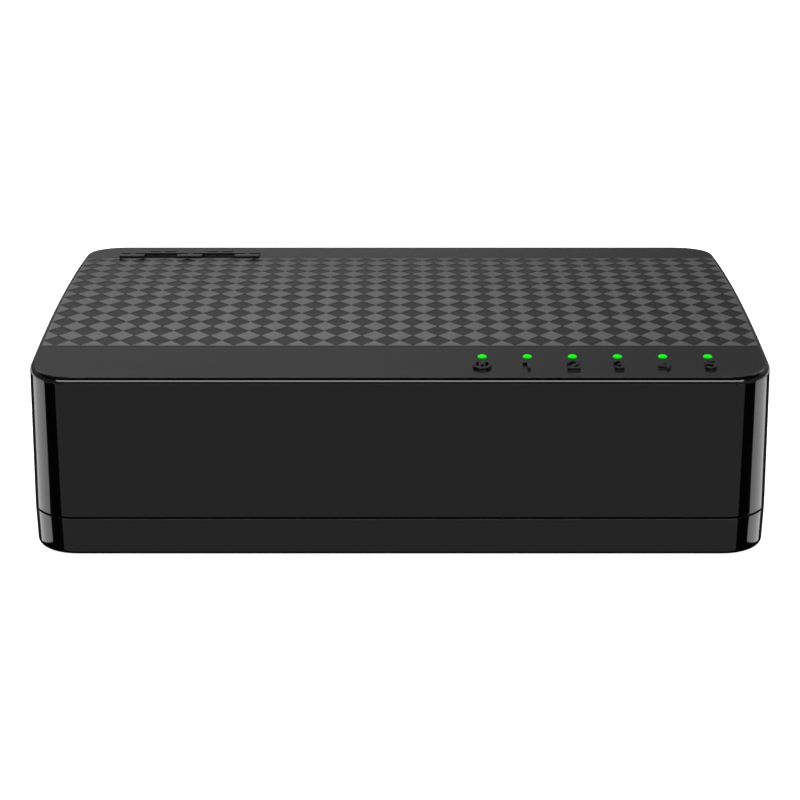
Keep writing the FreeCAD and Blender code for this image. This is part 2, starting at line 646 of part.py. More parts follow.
def port_housing():
    """One moulding with five plug sockets, each with a latch notch below and wire slots above."""
    body = block((HOUSING_LEFT, HOUSING_RIGHT), (MOUTH_Y - HOUSING_DEPTH, MOUTH_Y), (BOARD_TOP_Z, HOUSING_TOP_Z))
    posts = [upright(x, y, POST_R, (BOARD_BOTTOM_Z - 0.7, BOARD_TOP_Z + 0.5)) for x, y in post_positions()]
    body = fuse([body] + posts)
    out = MOUTH_Y + 1
    back = MOUTH_Y - SOCKET_DEPTH
    pockets = []
    for port in range(PORT_COUNT):
        x = port_x(port)
        wide = (x - LATCH_WIDE / 2, x + LATCH_WIDE / 2)
        narrow = (x - LATCH_NARROW / 2, x + LATCH_NARROW / 2)
        latch_y = (MOUTH_Y - LATCH_DEPTH, out)
        behind_ledge = (MOUTH_Y - LATCH_DEPTH, MOUTH_Y - LATCH_LEDGE)
        socket = [
            centred_block(x, (back + out) / 2, SOCKET_WIDTH, out - back, (SOCKET_FLOOR_Z, SOCKET_CEILING_Z)),
            block(wide, latch_y, (LATCH_STEP_Z, SOCKET_FLOOR_Z + 0.1)),
            block(narrow, latch_y, (LATCH_FLOOR_Z, SOCKET_FLOOR_Z)),
            block(wide, behind_ledge, (LATCH_FLOOR_Z, SOCKET_FLOOR_Z)),
        ]
        ceiling = (SOCKET_CEILING_Z - 0.1, SOCKET_CEILING_Z + RECESS_HEIGHT)
        slot_width = WIRE_PITCH - RIB_WIDTH
        for wire in range(WIRE_COUNT):
            wire_x = x + (wire - (WIRE_COUNT - 1) / 2) * WIRE_PITCH
            slot_x = (wire_x - slot_width / 2, wire_x + slot_width / 2)
            socket.append(block(slot_x, (MOUTH_Y - RIB_END, MOUTH_Y - RECESS_START), ceiling))
        half = WIRE_COUNT * WIRE_PITCH / 2 - RIB_WIDTH / 2
        socket.append(block((x - half, x + half), (back, MOUTH_Y - RIB_END), ceiling))
        pockets.append(fuse(socket))
    return cut(body, pockets)


def port_contacts(port):
    """Eight spring wires of one socket: each bends back from a loop and slopes down into the socket."""
    slope = math.radians(WIRE_SLOPE)
    pivot = (MOUTH_Y - WIRE_PIVOT_DEPTH, WIRE_PIVOT_Z)
    start = (pivot[0] + WIRE_BEND_R * math.sin(slope), pivot[1] - WIRE_BEND_R * math.cos(slope))
    end = (start[0] - WIRE_LENGTH * math.cos(slope), start[1] - WIRE_LENGTH * math.sin(slope))
    tip = (end[0] - 0.6 * math.cos(slope), end[1] + 0.6 * math.sin(slope))
    outer = WIRE_BEND_R + WIRE_THICKNESS / 2
    inner = WIRE_BEND_R - WIRE_THICKNESS / 2
    wires = []
    for wire in range(WIRE_COUNT):
        middle = port_x(port) + (wire - (WIRE_COUNT - 1) / 2) * WIRE_PITCH
        x = (middle - WIRE_WIDTH / 2, middle + WIRE_WIDTH / 2)
        loop = bent_strip(pivot, WIRE_BEND_R, WIRE_SLOPE - 90, 90, WIRE_THICKNESS, x)
        leg = strip([start, end, tip], WIRE_THICKNESS, x)
        stub = block(x, (pivot[0] - 0.9, pivot[0]), (pivot[1] + inner, pivot[1] + outer))
        wires.append(fuse([loop, leg, stub]))
    return Part.Compound(wires)


def port_tails():
    """Forty square solder tails below the port housing."""
    half = TAIL_SIZE / 2
    tails = []
    for x, y in tail_positions():
        tails.append(block((x - half, x + half), (y - half, y + half), (TAIL_BOTTOM_Z, BOARD_TOP_Z)))
    return Part.Compound(tails)


def jack_body():
    """Moulded body of the barrel jack: square face, round barrel, slot for the spring below."""
    half = JACK_WIDTH / 2
    back_y = MOUTH_Y - JACK_LENGTH
    x = (JACK_X - half, JACK_X + half)
    face = block(x, (MOUTH_Y - JACK_FLANGE, MOUTH_Y), (BOARD_TOP_Z, BOARD_TOP_Z + JACK_HEIGHT))
    barrel = Part.makeCylinder(half, JACK_LENGTH, point(JACK_X, back_y, JACK_AXIS_Z), Y_AXIS)
    saddle = block(x, (back_y, MOUTH_Y), (BOARD_TOP_Z, JACK_AXIS_Z))
    body = fuse([face, barrel, saddle])
    mouth = point(JACK_X, MOUTH_Y - JACK_BORE_DEPTH, JACK_AXIS_Z)
    bore = Part.makeCylinder(JACK_BORE_R, JACK_BORE_DEPTH + 1, mouth, Y_AXIS)
    lead_in = Part.makeCone(JACK_BORE_R, JACK_BORE_R + 0.6, 0.6, point(JACK_X, MOUTH_Y - 0.6, JACK_AXIS_Z), Y_AXIS)
    pin_hole = pin_stem(JACK_STEM / 2 + 0.02, back_y - 1)
    slot_half = JACK_SLOT_WIDTH / 2
    slot = block(
        (JACK_X - slot_half, JACK_X + slot_half), (MOUTH_Y - 13.0, MOUTH_Y - 1.8),
        (JACK_SLOT_FLOOR_Z, JACK_AXIS_Z - 2.6))
    return cut(body, [bore, lead_in, pin_hole, slot] + jack_tails(0.05)[1:])


def pin_stem(half, back_y):
    """The square part of the centre contact, from back_y to the bottom of the bore."""
    x = (JACK_X - half, JACK_X + half)
    z = (JACK_AXIS_Z - half, JACK_AXIS_Z + half)
    return block(x, (back_y, MOUTH_Y - JACK_BORE_DEPTH + 0.1), z)


def jack_pin():
    """Centre contact: a round-nosed pin in the bore on a square stem through the back wall."""
    root_y = MOUTH_Y - JACK_BORE_DEPTH
    tip_y = MOUTH_Y - 0.9
    post = Part.makeCylinder(JACK_PIN_R, tip_y - root_y, point(JACK_X, root_y, JACK_AXIS_Z), Y_AXIS)
    nose = [e for e in post.Edges if e.BoundBox.YMin > tip_y - 1e-3]
    post = post.makeFillet(0.4, nose)
    return fuse([post, pin_stem(JACK_STEM / 2, MOUTH_Y - JACK_LENGTH - 0.1)])


def jack_spring():
    """Leaf contact below the bore: rises from its root to a peak inside the bore and turns down."""
    x = (JACK_X - 1.1, JACK_X + 1.1)
    root = (MOUTH_Y - JACK_PIVOT_DEPTH, JACK_PIVOT_Z)
    peak = (MOUTH_Y - 4.6, JACK_AXIS_Z - 2.45)
    tip = (MOUTH_Y - 2.7, JACK_AXIS_Z - 3.3)
    leaf = strip([root, peak, tip], 0.3, x)
    bead = Part.makeCylinder(0.35, x[1] - x[0], point(x[0], root[0], root[1]), X_AXIS)
    return fuse([leaf, bead])


def magnetics(port):
    """Isolation transformer module in front of one port, with flat leads on two sides."""
    x = port_x(port)
    y = 4.6
    body = centred_block(x, y, 11.6, 6.6, (BOARD_TOP_Z + 0.25, BOARD_TOP_Z + 5.4))
    upper = [e for e in body.Edges if e.BoundBox.ZMin > BOARD_TOP_Z + 5.3]
    pieces = [body.makeChamfer(0.4, upper)]
    for index in range(8):
        lead_x = x + (index - 3.5) * 1.27
        for way in (-1, 1):
            foot_y = y + way * 3.75
            pieces.append(centred_block(lead_x, foot_y, 0.45, 1.1, (BOARD_TOP_Z, BOARD_TOP_Z + 0.3)))
    return fuse(pieces)


def switch_chip():
    x, y = SWITCH_CHIP_AT
    return centred_block(x, y, CHIP_SIZE, CHIP_SIZE, (BOARD_TOP_Z, BOARD_TOP_Z + CHIP_HEIGHT))


def thermal_pad():
    x, y = SWITCH_CHIP_AT
    low = BOARD_TOP_Z + CHIP_HEIGHT
    return centred_block(x, y, CHIP_SIZE, CHIP_SIZE, (low, low + PAD_HEIGHT))


def heat_sink():
    """Extruded aluminium block with seven fins."""
    x, y = SWITCH_CHIP_AT
    foot = BOARD_TOP_Z + CHIP_HEIGHT + PAD_HEIGHT
    pieces = [centred_block(x, y, SINK_SIZE, SINK_SIZE, (foot, foot + 1.5))]
    step = (SINK_SIZE - 1.0) / (FIN_COUNT - 1)
    for index in range(FIN_COUNT):
        fin_x = x - SINK_SIZE / 2 + 0.5 + index * step
        pieces.append(centred_block(fin_x, y, 1.0, SINK_SIZE, (foot + 1.4, foot + SINK_HEIGHT)))
    return fuse(pieces)


def crystal():
    """Metal can with rounded ends on a flange."""
    x, y = 9.5, -11.5
    z = (BOARD_TOP_Z + 0.3, BOARD_TOP_Z + 3.5)
    can = fuse([
        centred_block(x, y, 6.6, 4.2, z), upright(x - 3.3, y, 2.1, z), upright(x + 3.3, y, 2.1, z)])
    rim_z = (BOARD_TOP_Z, BOARD_TOP_Z + 0.4)
    rim = fuse([
        centred_block(x, y, 6.6, 4.8, rim_z), upright(x - 3.3, y, 2.4, rim_z), upright(x + 3.3, y, 2.4, rim_z)])
    return fuse([can, rim])


def small_chip(x, y, leads, size_x, size_y, height):
    """A small outline chip with leads on its two long sides."""
    pieces = [centred_block(x, y, size_x, size_y, (BOARD_TOP_Z + 0.15, BOARD_TOP_Z + height))]
    for index in range(leads):
        lead_x = x + (index - (leads - 1) / 2) * 1.27
        for way in (-1, 1):
            lead_y = y + way * (size_y / 2 + 0.4)
            pieces.append(centred_block(lead_x, lead_y, 0.42, 1.0, (BOARD_TOP_Z, BOARD_TOP_Z + 0.25)))
    return fuse(pieces)


def flash_chip():
    return small_chip(18.5, -8.5, 4, 5.0, 4.0, 1.6)


def regulator_chip():
    return small_chip(-27.5, -12.0, 4, 5.0, 4.0, 1.6)


def power_inductor():
    """Shielded coil: a square body with cut corners and a round lid."""
    x, y = -20.0, -13.0
    z = (BOARD_TOP_Z, BOARD_TOP_Z + 4.0)
    body = centred_block(x, y, 7.0, 7.0, z)
    corners = [e for e in body.Edges if e.BoundBox.ZLength > 3.9]
    body = body.makeChamfer(1.4, corners)
    return fuse([body, upright(x, y, 2.6, (z[1] - 0.2, z[1] + 0.3))])


def can_capacitor(x, y):
    """Aluminium can on a square base with two cut corners."""
    base = centred_block(x, y, 6.6, 6.6, (BOARD_TOP_Z, BOARD_TOP_Z + 1.0))
    corners = [e for e in base.Edges if e.BoundBox.ZLength > 0.9 and e.BoundBox.YMin > y]
    base = base.makeChamfer(1.3, corners)
    can = upright(x, y, 3.15, (BOARD_TOP_Z + 0.9, BOARD_TOP_Z + 7.7))
    rim = outer_edges_at(can, BOARD_TOP_Z + 7.7)
    return fuse([base, can.makeFillet(0.4, rim)])


def chip_passives():
    """Rows of small resistors and capacitors, each its own solid."""
    parts = []
    for index in range(16):
        x = 4.0 + index * 2.1
        parts.append(centred_block(x, -3.0, 0.8, 1.6, (BOARD_TOP_Z, BOARD_TOP_Z + 0.6)))
    for index in range(LIGHT_COUNT):
        parts.append(centred_block(light_x(index), -16.6, 0.8, 1.6, (BOARD_TOP_Z, BOARD_TOP_Z + 0.45)))
    for index in range(6):
        parts.append(centred_block(-32.0 + index * 3.0, -2.6, 1.25, 2.0, (BOARD_TOP_Z, BOARD_TOP_Z + 0.9)))
    return Part.Compound(parts)


def status_led(index):
    """Surface-mount light: a flat carrier with a domed lens."""
    x = light_x(index)
    carrier = centred_block(x, LIGHT_Y, 1.25, 2.0, (BOARD_TOP_Z, BOARD_TOP_Z + 0.35))
    lens = centred_block(x, LIGHT_Y, 1.2, 1.3, (BOARD_TOP_Z + 0.3, BOARD_TOP_Z + 0.8))
    upper = [e for e in lens.Edges if e.BoundBox.ZMin > BOARD_TOP_Z + 0.7]
    return fuse([carrier, lens.makeFillet(0.2, upper)])


def light_pipe():
    """One clear moulding: a bar with six stems that end in small domes just proud of the top."""
    low_x = LIGHT_FIRST_X - 1.8
    high_x = light_x(LIGHT_COUNT - 1) + 1.8
    pieces = [block((low_x, high_x), (LIGHT_Y - 1.4, LIGHT_Y + 1.4), LIGHT_BAR_Z)]
    ceiling = crown_z(LIGHT_Y) - WALL
    for index in range(LIGHT_COUNT):
        x = light_x(index)
        pieces.append(upright(x, LIGHT_Y, 1.2, (BOARD_TOP_Z + 1.3, LIGHT_BAR_Z[0] + 0.2)))
        pieces.append(upright(x, LIGHT_Y, 0.9, (LIGHT_BAR_Z[1] - 0.2, ceiling - 0.25)))
        tip_z = crown_z(LIGHT_Y) + LIGHT_PROUD
        dome = Part.makeSphere(LIGHT_DOME_R, point(x, LIGHT_Y, tip_z - LIGHT_DOME_R))
        upper = upright(x, LIGHT_Y, LIGHT_TIP_R, (tip_z - 0.3, tip_z + 0.1)).common(dome)
        lower = upright(x, LIGHT_Y, LIGHT_TIP_R, (ceiling - 0.4, tip_z - 0.3))
        pieces += [lower, upper]
    pipe = fuse(pieces)
    pegs = [upright(x, LIGHT_Y, LIGHT_PEG_R + 0.05, (LIGHT_BAR_Z[0] - 1, LIGHT_BAR_Z[1] + 1)) for x in LIGHT_PEG_X]
    return cut(pipe, pegs)


# ---- write every sub-part -----------------------------------------------------------------------
def all_nodes():
    nodes = {
        "top_cover": top_cover(),
        "base_shell": base_shell(),
        "circuit_board": circuit_board(),
        "port_housing": port_housing(),
        "port_tails": port_tails(),
        "dc_jack_body": jack_body(),
        "dc_jack_pin": jack_pin(),
        "dc_jack_spring": jack_spring(),
        "dc_jack_tails": Part.Compound(jack_tails(0.0)),
        "switch_chip": switch_chip(),
        "thermal_pad": thermal_pad(),
        "heat_sink": heat_sink(),
        "crystal": crystal(),
        "flash_chip": flash_chip(),
        "regulator_chip": regulator_chip(),
        "power_inductor": power_inductor(),
        "capacitor_1": can_capacitor(-30.5, 5.0),
        "capacitor_2": can_capacitor(24.6, -12.0),
        "chip_passives": chip_passives(),
        "light_pipe": light_pipe(),
        "case_screws": case_screws(),
        "board_screws": board_screws(),
        "underside_label": underside_label(),
    }
    for port in range(PORT_COUNT):
        nodes[f"port_{port + 1}_contacts"] = port_contacts(port)
        nodes[f"magnetics_{port + 1}"] = magnetics(port)
    for index in range(LIGHT_COUNT):
        name = "power_led" if index == 0 else f"port_led_{index}"
        nodes[name] = status_led(index)
    places = {"front_left": (-1, -1), "front_right": (1, -1), "rear_left": (-1, 1), "rear_right": (1, 1)}
    for place, (side_x, side_y) in places.items():
        nodes[f"foot_{place}"] = rubber_foot(side_x, side_y)
    return nodes


os.makedirs("parts", exist_ok=True)
for name, shape in all_nodes().items():
    shape.exportStep(f"parts/{name}.step")
    print(name, len(shape.Solids), round(shape.Volume, 2), shape.isValid())
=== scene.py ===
"""Looks of the desktop network switch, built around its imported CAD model. Metres, +Z up, front towards -Y."""
import json
import math

import bmesh
import bpy
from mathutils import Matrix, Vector

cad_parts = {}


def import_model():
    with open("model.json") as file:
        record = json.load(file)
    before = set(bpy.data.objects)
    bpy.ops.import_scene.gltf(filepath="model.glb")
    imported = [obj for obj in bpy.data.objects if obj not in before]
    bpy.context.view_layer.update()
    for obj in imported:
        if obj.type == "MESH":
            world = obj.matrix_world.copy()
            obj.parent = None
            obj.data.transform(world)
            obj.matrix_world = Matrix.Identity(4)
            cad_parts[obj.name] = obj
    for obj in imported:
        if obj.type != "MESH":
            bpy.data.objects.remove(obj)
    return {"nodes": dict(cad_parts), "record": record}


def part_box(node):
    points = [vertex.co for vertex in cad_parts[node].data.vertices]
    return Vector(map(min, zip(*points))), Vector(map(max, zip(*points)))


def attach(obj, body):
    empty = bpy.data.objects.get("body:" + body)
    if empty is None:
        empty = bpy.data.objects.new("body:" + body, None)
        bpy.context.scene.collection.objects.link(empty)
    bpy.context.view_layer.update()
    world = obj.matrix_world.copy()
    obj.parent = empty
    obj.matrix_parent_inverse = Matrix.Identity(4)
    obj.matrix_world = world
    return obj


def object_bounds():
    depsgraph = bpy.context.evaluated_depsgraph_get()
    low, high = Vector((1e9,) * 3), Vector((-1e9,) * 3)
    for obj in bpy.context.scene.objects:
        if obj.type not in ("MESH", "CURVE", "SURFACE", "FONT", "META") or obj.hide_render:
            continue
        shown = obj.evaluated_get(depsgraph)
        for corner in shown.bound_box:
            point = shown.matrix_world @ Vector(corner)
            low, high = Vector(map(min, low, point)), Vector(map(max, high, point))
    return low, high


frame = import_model()
cad_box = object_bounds()
nodes = frame["nodes"]

MM = 0.001

# ---- sizes of the top, repeated from the design or read from the frame ---------------------------
APEX_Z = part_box("top_cover")[1].z
CROWN_R = 229.8 * MM
PITCH = 2.9 * MM
PATTERN_FRONT = -5.91 * PITCH       # first row, along the arch from its highest line
PATTERN_ROWS = 12
PATTERN_BACK = PATTERN_FRONT + PATTERN_ROWS * PITCH
PATTERN_COLUMNS = 14                # to each side of the middle
PAD_RISE = 0.06 * MM                # height of a pad above the arch
PAD_SINK = 0.04 * MM                # depth of its underside below the arch
PAD_GAP = 0.01 * MM                 # how far its outline stays inside its diamond
PAD_SLOPE = 0.04 * MM               # width of its sloping sides
LINE_PITCH = 0.16 * MM              # fine diagonal lines in the pattern

# ---- finishes: colours between two tones, and ranges of roughness -------------------------------
PLASTIC_IOR = 1.47
BLACK = ((0.0005, 0.0005, 0.0006), (0.0008, 0.0008, 0.0009))
FIELD_BLACK = (0.0018, 0.0018, 0.0019)
DIAMOND_GREY = ((0.042, 0.042, 0.043), (0.056, 0.056, 0.057))
GUIDE_GREEN = ((0.0, 0.16, 0.0), (0.0, 0.24, 0.0))
GLOW_GREEN = (0.0, 1.0, 0.005, 1.0)
GLOW_STRENGTH = 0.62
POLISHED = (0.05, 0.09)
SATIN = (0.20, 0.27)
MATT = (0.38, 0.5)
ERODED = (0.42, 0.55)
# scales of the noise in the black plastic, in cells to the metre
DRIFT = 60.0
GRAIN = 2500.0

# ---- camera --------------------------------------------------------------------------------------
CAMERA_AT = (0.0, -0.22949, 0.09572)
CAMERA_DOWN = 20.58                 # degrees below level
CAMERA_LENS = 89.19                 # millimetres, on a sensor 36 mm wide
SENSOR_WIDTH = 36.0
CLIP_START = 0.01

# ---- studio: cards that lie on the floor ---------------------------------------------------------
FLOOR_HALF = 3.0
FLOOR_REACH = 2.9                   # where the rear and side flags end
CARD_Z = 0.25 * MM
TOP_CARD_Z = 1.2 * CARD_Z           # the flag under the case covers the other cards
LOW_CARD_Z = 0.9 * CARD_Z           # the side flags run under the other cards
CARD_REACH = 0.9
BELOW_EDGE = 1.2 * MM               # how far the flag under the case shows around it
CORNER_AXIS = (36.4 * MM, 21.2 * MM)
CORNER_R = 5.2 * MM
VIEW_TURN = 10.3                    # degrees by which the camera's rays are turned at the corners
# degrees away from straight ahead where the dark gap starts, the bright wedge starts and it ends
DARK_FROM, DARK_TO, BRIGHT_TO = 44.0, 77.5, 128.5
WEDGE_REACH = (200 * MM, 90 * MM)   # at the wedge's front and rear edges
FLAG_REACH = 75 * MM
REAR_REACH = 65 * MM
FRONT_CARD = 0.46                   # strengths of the cards
SIDE_CARD = 2.5
DARK_CARD = 0.03
BLACK_CARD = 0.0

# ---- studio: radiance of the room as stops of (position, level) ----------------------------------
# against the sine of the height above the horizon, behind the case and elsewhere
ROOM = ((0.0, 0.245), (0.10, 0.245), (0.33, 0.29), (0.50, 0.49), (0.62, 0.49), (0.72, 0.01))
ROOM_ROUND = ((0.0, 0.245), (0.10, 0.245), (0.34, 0.27), (0.52, 0.22), (0.64, 0.015))
# share of the first one against the direction's Y + 0.5, and a factor against its X + 0.5
ROOM_BEHIND = ((0.6, 0.0), (0.9, 1.0))
ROOM_LEAN = ((0.0, 0.8), (0.12, 1.16), (0.5, 1.0), (0.66, 0.50), (1.0, 1.1))
HALF = 0.5                          # brings a direction's X or Y to the middle of a ramp


def crown_z(y):
    """Height of the arched top at a distance y from its highest line."""
    return APEX_Z - CROWN_R + math.sqrt(CROWN_R ** 2 - y ** 2)


# ---- node helpers --------------------------------------------------------------------------------
class Nodes:
    """A node tree, with short names for the plain nodes used here."""

    def __init__(self, tree):
        self.tree = tree

    def add(self, kind, **settings):
        node = self.tree.nodes.new(kind)
        for key, value in settings.items():
            setattr(node, key, value)
        return node

    def join(self, source, target):
        self.tree.links.new(source, target)

    def split(self, vector):
        """The three parts of a vector, by their letters."""
        node = self.add("ShaderNodeSeparateXYZ")
        self.join(vector, node.inputs[0])
        return node.outputs

    def math(self, operation, first, second=None):
        node = self.add("ShaderNodeMath", operation=operation)
        for index, value in enumerate((first, second)):
            if value is None:
                continue
            if isinstance(value, (int, float)):
                node.inputs[index].default_value = value
            else:
                self.join(value, node.inputs[index])
        return node.outputs[0]

    def mix(self, fac, first, second):
        """One number from two others."""
        node = self.add("ShaderNodeMix", data_type="FLOAT")
        self.join(fac, node.inputs["Factor"])
        self.join(first, node.inputs[2])
        self.join(second, node.inputs[3])
        return node.outputs[0]

    def ramp(self, value, stops):
        """A grey level that follows stops of (position, level)."""
        node = self.add("ShaderNodeValToRGB")
        elements = node.color_ramp.elements
        while len(elements) < len(stops):
            elements.new(HALF)
        for element, (position, level) in zip(elements, stops):
            element.position = position
            element.color = (level, level, level, 1.0)
        self.join(value, node.inputs["Fac"])
        return node.outputs["Color"]


class Graph(Nodes):
    """A material and its node tree, with the textures used here."""

    def __init__(self, name):
        self.material = bpy.data.materials.new(name)
        self.material.use_nodes = True
        super().__init__(self.material.node_tree)
        self.shader = self.tree.nodes["Principled BSDF"]
        self.place = self.add("ShaderNodeTexCoord").outputs["Object"]

    def noise(self, scale, detail=3.0, roughness=0.5, stretch=None):
        """Fractal noise from 0 to 1, with its scale in cells to the metre."""
        node = self.add("ShaderNodeTexNoise")
        node.inputs["Scale"].default_value = scale
        node.inputs["Detail"].default_value = detail
        node.inputs["Roughness"].default_value = roughness
        source = self.place
        if stretch:
            mapping = self.add("ShaderNodeMapping")
            mapping.inputs["Scale"].default_value = stretch
            self.join(source, mapping.inputs["Vector"])
            source = mapping.outputs["Vector"]
        self.join(source, node.inputs["Vector"])
        return node.outputs["Fac"]

    def spread(self, value, low, high, start=0.0, end=1.0):
        """A value from start to end mapped to low to high."""
        node = self.add("ShaderNodeMapRange")
        node.inputs["From Min"].default_value = start
        node.inputs["From Max"].default_value = end
        node.inputs["To Min"].default_value = low
        node.inputs["To Max"].default_value = high
        self.join(value, node.inputs["Value"])
        return node.outputs["Result"]

    def blend(self, fac, first, second):
        """One colour from two others."""
        node = self.add("ShaderNodeMix", data_type="RGBA")
        self.join(fac, node.inputs["Factor"])
        for socket, value in ((node.inputs[6], first), (node.inputs[7], second)):
            if isinstance(value, tuple):
                socket.default_value = (*value, 1.0)
            else:
                self.join(value, socket)
        return node.outputs[2]

    def bump(self, height, distance, strength=1.0, under=None):
        """A shading normal from a height, on top of another normal if there is one."""
        node = self.add("ShaderNodeBump")
        node.inputs["Distance"].default_value = distance
        node.inputs["Strength"].default_value = strength
        self.join(height, node.inputs["Height"])
        if under is not None:
            self.join(under, node.inputs["Normal"])
        return node.outputs["Normal"]

    def soft_edges(self, radius):
        """A shading normal that softens sharp moulded edges."""
        node = self.add("ShaderNodeBevel", samples=4)
        node.inputs["Radius"].default_value = radius
        return node.outputs["Normal"]

    def diagonal_lines(self, operation):
        """Waves across X + Y or, with SUBTRACT, across X - Y."""
        place = self.split(self.place)
        across = self.math(operation, place["X"], place["Y"])
        return self.math("SINE", self.math("MULTIPLY", across, 2 * math.pi / LINE_PITCH))

    def paint(self, color=None, roughness=None, normal=None):
        """Gives the shader constants or joins it to nodes."""
        for key, value in (("Base Color", color), ("Roughness", roughness), ("Normal", normal)):
            if value is None:
                continue
            if isinstance(value, tuple):
                self.shader.inputs[key].default_value = (*value, 1.0)
            elif isinstance(value, (int, float)):
                self.shader.inputs[key].default_value = value
            else:
                self.join(value, self.shader.inputs[key])

    def set(self, **values):
        """Constants on the shader, with underscores for the spaces in a socket's name."""
        for key, value in values.items():
            self.shader.inputs[key.replace("_", " ")].default_value = value


def moulded(name, color, roughness, grain=0.0):
    """Moulded plastic: even colour with a faint drift, soft edges and, with grain, an eroded texture."""
    low, high = 0.85, 1.15
    grain_size = 0.3 * MM
    g = Graph(name)
    g.set(IOR=PLASTIC_IOR)
    dark = tuple(low * c for c in color)
    light = tuple(high * c for c in color)
    tone = g.blend(g.noise(90.0, 2.0), dark, light)
    rough = g.spread(g.noise(1400.0, 4.0), roughness * low, roughness * high)
    normal = g.soft_edges(0.08 * MM)
    if grain:
        normal = g.bump(g.noise(1.0 / grain_size, 2.0), grain, 1.0, normal)
    g.paint(tone, rough, normal)
    return g.material


def metal(name, color, roughness, stretch=(1.0, 1.0, 1.0)):
    """Bright or plated metal with fine drawn lines."""
    g = Graph(name)
    g.set(Metallic=1.0)
    lines = g.noise(4000.0, 3.0, 0.6, stretch)
    tone = g.blend(lines, tuple(0.8 * c for c in color), color)
    rough = g.spread(lines, roughness * 0.7, roughness * 1.3)
    g.paint(tone, rough, g.bump(lines, 0.004 * MM, 0.6))
    return g.material


def cover_material():
    """Polished black sides; the arched top is satin, with fine diagonal lines inside the pattern."""
    g = Graph("cover_black")
    g.set(IOR=PLASTIC_IOR)
    place = g.split(g.place)
    # depth below the arched surface, from the parabola that follows its circle near the top
    fall = g.math("MULTIPLY", g.math("MULTIPLY", place["Y"], place["Y"]), 0.5 / CROWN_R)
    below = g.math("SUBTRACT", APEX_Z, g.math("ADD", place["Z"], fall))
    fade_from, fade_to = 0.02 * MM, 0.10 * MM
    top = g.spread(below, 1.0, 0.0, fade_from, fade_to)
    front = g.math("GREATER_THAN", place["Y"], PATTERN_FRONT)
    back = g.math("LESS_THAN", place["Y"], PATTERN_BACK)
    field = g.math("MULTIPLY", g.math("MULTIPLY", front, back), top)
    tone = g.blend(field, g.blend(g.noise(DRIFT, 2.0), *BLACK), FIELD_BLACK)
    fine = g.noise(GRAIN, 3.0)
    rough = g.mix(top, g.spread(fine, *POLISHED), g.spread(fine, *SATIN))
    lines = g.math("MULTIPLY", g.diagonal_lines("ADD"), field)
    normal = g.bump(lines, 0.002 * MM, 0.5, g.soft_edges(0.05 * MM))
    g.paint(tone, rough, normal)
    return g.material


def diamond_material():
    """The lighter diamonds: a matt, finely ribbed finish that scatters light."""
    g = Graph("cover_diamond")
    g.set(IOR=PLASTIC_IOR)
    drift = g.noise(1800.0, 3.0)
    ribs = g.diagonal_lines("SUBTRACT")
    normal = g.bump(ribs, 0.006 * MM, 0.6, g.bump(drift, 0.01 * MM, 0.5))
    g.paint(g.blend(drift, *DIAMOND_GREY), g.spread(drift, *MATT), normal)
    return g.material


def base_material():
    """Polished black rim; the level faces, such as the underside, are spark-eroded."""
    g = Graph("base_black")
    g.set(IOR=PLASTIC_IOR)
    nearly_level = 0.9
    facing = g.split(g.add("ShaderNodeNewGeometry").outputs["True Normal"])
    level = g.math("GREATER_THAN", g.math("ABSOLUTE", facing["Z"]), nearly_level)
    fine = g.noise(GRAIN, 3.0)
    rough = g.mix(level, g.spread(fine, *POLISHED), g.spread(fine, *ERODED))
    grain = g.math("MULTIPLY", g.noise(2600.0, 3.0), level)
    normal = g.bump(grain, 0.05 * MM, 0.7, g.soft_edges(0.1 * MM))
    g.paint(g.blend(g.noise(DRIFT, 2.0), *BLACK), rough, normal)
    return g.material


def board_material():
    """Green solder resist over faint copper tracks."""
    g = Graph("board_green")
    tracks = g.add("ShaderNodeTexBrick")
    tracks.inputs["Scale"].default_value = 260.0
    tracks.inputs["Mortar Size"].default_value = 0.012
    g.join(g.place, tracks.inputs["Vector"])
    line = tracks.outputs["Fac"]
    tone = g.blend(line, (0.012, 0.10, 0.035), (0.03, 0.20, 0.08))
    g.paint(tone, g.spread(g.noise(900.0), 0.25, 0.4), g.bump(line, 0.02 * MM))
    return g.material


def rubber_material():
    """Soft black rubber with a fine grain."""
    g = Graph("foot_rubber")
    fine = g.noise(3500.0, 4.0, 0.7)
    tone = g.blend(fine, (0.012, 0.012, 0.012), (0.028, 0.028, 0.028))
    g.paint(tone, g.spread(fine, 0.65, 0.85), g.bump(fine, 0.03 * MM))
    return g.material


def label_material(box):
    """Blank silver film with a thin printed frame line."""
    line_inset = 1.3 * MM
    line_half = 0.15 * MM
    g = Graph("label_film")
    low, high = box
    middle = (low + high) / 2
    half = (high - low) / 2
    place = g.split(g.place)
    inside = []
    for axis, centre, size in (("X", middle.x, half.x), ("Y", middle.y, half.y)):
        away = g.math("ABSOLUTE", g.math("SUBTRACT", place[axis], centre))
        inside.append(g.math("SUBTRACT", away, size - line_inset))
    edge = g.math("MAXIMUM", inside[0], inside[1])
    line = g.math("LESS_THAN", g.math("ABSOLUTE", edge), line_half)
    film = g.blend(g.noise(300.0, 3.0), (0.42, 0.42, 0.43), (0.50, 0.50, 0.51))
    g.set(Metallic=0.35)
    g.paint(g.blend(line, film, (0.05, 0.05, 0.055)), g.spread(g.noise(2500.0), 0.35, 0.5))
    return g.material


def light_material():
    """Clear light guide whose tips glow green."""
    g = Graph("light_guide_green")
    core = g.noise(800.0, 2.0)
    g.paint(g.blend(core, *GUIDE_GREEN), g.spread(core, 0.12, 0.2))
    g.set(Specular_IOR_Level=0.12, Emission_Color=GLOW_GREEN, Emission_Strength=GLOW_STRENGTH)
    return g.material


